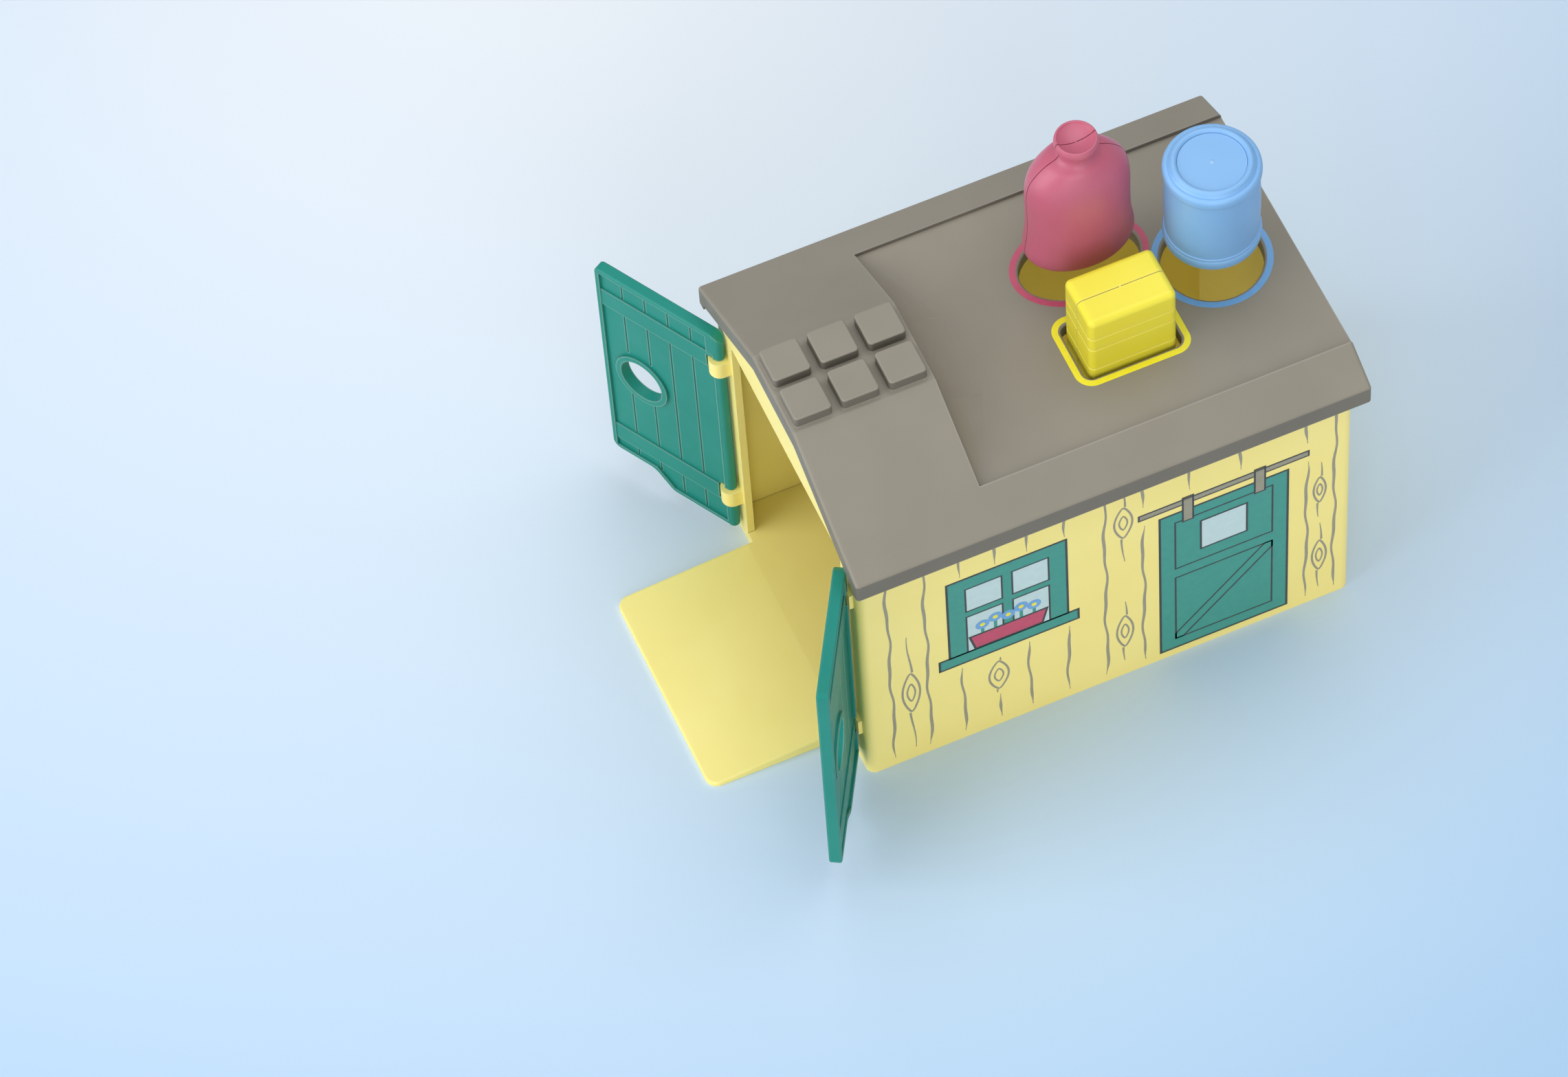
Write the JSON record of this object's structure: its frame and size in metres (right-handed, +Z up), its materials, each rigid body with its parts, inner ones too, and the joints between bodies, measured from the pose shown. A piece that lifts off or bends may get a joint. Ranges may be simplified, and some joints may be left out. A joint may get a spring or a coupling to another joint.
{
  "type": "toy farmhouse",
  "caption": "Toy farmhouse with a gabled lift-on roof, swinging barn doors, an entry ramp and a sunk roof panel with shaped holes that sort sack, bale and barrel blocks.",
  "frame": {"origin": "middle of the wall footprint on the ground, on the underside of the floor", "axes": "+X to the right side wall, +Y from the doors to the back, +Z up"},
  "size_m": [0.2024, 0.2483, 0.216],
  "materials": {
    "wall_yellow": "satin moulded ABS",
    "roof_taupe": "satin moulded ABS",
    "door_teal": "satin moulded ABS",
    "sack_pink": "satin moulded ABS",
    "bale_yellow": "satin moulded ABS",
    "barrel_blue": "satin moulded ABS"
  },
  "bodies": {
    "house": {"wall_shell": "wall_yellow", "floor_ramp": "wall_yellow", "roof_shell": "roof_taupe"},
    "left_door": {"left_door": "door_teal"},
    "right_door": {"right_door": "door_teal"},
    "sack": {"sack_left_half": "sack_pink", "sack_right_half": "sack_pink"},
    "bale": {"bale_left_half": "bale_yellow", "bale_right_half": "bale_yellow"},
    "barrel": {"barrel_body": "barrel_blue", "barrel_lid": "barrel_blue"}
  },
  "joints": [
    {"name": "left_door_hinge", "type": "hinge", "parent": "house", "child": "left_door", "pos_m": [-0.0541, -0.0979, 0.0675], "axis": [0, 0, 1], "range_deg": [-20, 150]},
    {"name": "right_door_hinge", "type": "hinge", "parent": "house", "child": "right_door", "pos_m": [0.0541, -0.0979, 0.0675], "axis": [0, 0, -1], "range_deg": [-20, 150]},
    {"name": "sack_lift", "type": "slide", "parent": "house", "child": "sack", "axis": [0, 0, 1], "range_m": [-0.1488, 0.04]},
    {"name": "bale_lift", "type": "slide", "parent": "house", "child": "bale", "axis": [0, 0, 1], "range_m": [-0.12415, 0.04]},
    {"name": "barrel_lift", "type": "slide", "parent": "house", "child": "barrel", "axis": [0, 0, 1], "range_m": [-0.1513, 0.04]}
  ]
}
